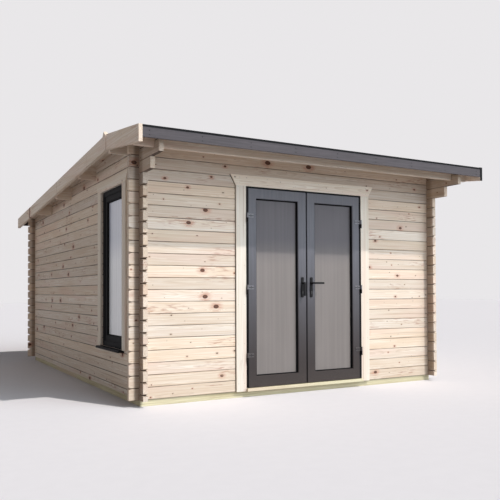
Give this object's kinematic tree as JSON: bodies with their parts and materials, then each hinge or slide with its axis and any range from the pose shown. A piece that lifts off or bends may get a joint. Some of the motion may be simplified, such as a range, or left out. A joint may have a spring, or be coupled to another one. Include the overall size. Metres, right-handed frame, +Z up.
{
  "type": "garden office pod",
  "caption": "Timber garden office pod of interlocking logs, with an offset ridge roof, glazed double doors and a tall side window.",
  "frame": {"origin": "on the ground, in the middle of the walls' footprint", "axes": "+Z up, doors face -Y, +Y to the back, +X to the right seen from the doors"},
  "size_m": [4.038, 5.586, 2.5745],
  "materials": {
    "spruce_log": "planed",
    "treated_timber": "rough sawn",
    "floor_board": "planed",
    "trim_board": "planed",
    "roof_board": "planed",
    "roof_membrane": "matt",
    "anthracite_board": "satin",
    "anthracite_frame": "satin foil",
    "anthracite_metal": "powder coated",
    "black_metal": "satin",
    "satin_glass": "satin"
  },
  "bodies": {
    "pod": {"end_bearers": "treated_timber", "side_bearers": "treated_timber", "floor_joists": "treated_timber", "floor": "floor_board", "front_wall_left": "spruce_log", "front_wall_right": "spruce_log", "front_wall_top": "spruce_log", "left_wall_lower": "spruce_log", "left_wall_front_pier": "spruce_log", "left_wall_rear_pier": "spruce_log", "left_wall_top": "spruce_log", "right_wall": "spruce_log", "back_wall": "spruce_log", "eave_beam": "spruce_log", "ridge_purlin": "spruce_log", "purlins": "spruce_log", "front_roof_boards": "roof_board", "rear_roof_boards": "roof_board", "roof_cover": "roof_membrane", "front_fascia": "anthracite_board", "rear_fascia": "anthracite_board", "front_edge_trim": "anthracite_metal", "rear_edge_trim": "anthracite_metal", "front_barge_boards": "trim_board", "rear_barge_boards": "trim_board", "door_frame": "anthracite_frame", "door_threshold": "trim_board", "door_side_trims": "trim_board", "door_head_trim": "trim_board", "hinge_pins": "black_metal", "window_frame": "anthracite_frame", "window_sash": "anthracite_frame", "window_glass": "satin_glass", "window_cill": "anthracite_frame", "window_side_trims": "trim_board", "window_head_trim": "trim_board"},
    "left_door": {"left_leaf": "anthracite_frame", "left_glass": "satin_glass", "left_hinge_flags": "black_metal", "left_handle_plates": "black_metal"},
    "left_handle": {"left_lever": "black_metal"},
    "right_door": {"right_leaf": "anthracite_frame", "right_glass": "satin_glass", "right_hinge_flags": "black_metal", "right_handle_plates": "black_metal"},
    "right_handle": {"right_lever": "black_metal"}
  },
  "joints": [
    {"name": "left_door_hinge", "type": "hinge", "parent": "pod", "child": "left_door", "pos_m": [-0.685, -2.432, 1.068], "axis": [0, 0, -1], "range_deg": [0, 100]},
    {"name": "right_door_hinge", "type": "hinge", "parent": "pod", "child": "right_door", "pos_m": [0.745, -2.432, 1.068], "axis": [0, 0, 1], "range_deg": [0, 100]},
    {"name": "left_handle_turn", "type": "hinge", "parent": "left_door", "child": "left_handle", "pos_m": [-0.026, -2.388, 1.134], "axis": [0, 1, 0], "range_deg": [0, 90]},
    {"name": "right_handle_turn", "type": "hinge", "parent": "right_door", "child": "right_handle", "pos_m": [0.086, -2.388, 1.134], "axis": [0, 1, 0], "range_deg": [0, 45], "stiffness_Nm_per_rad": 1, "springref_deg": -45.84}
  ]
}
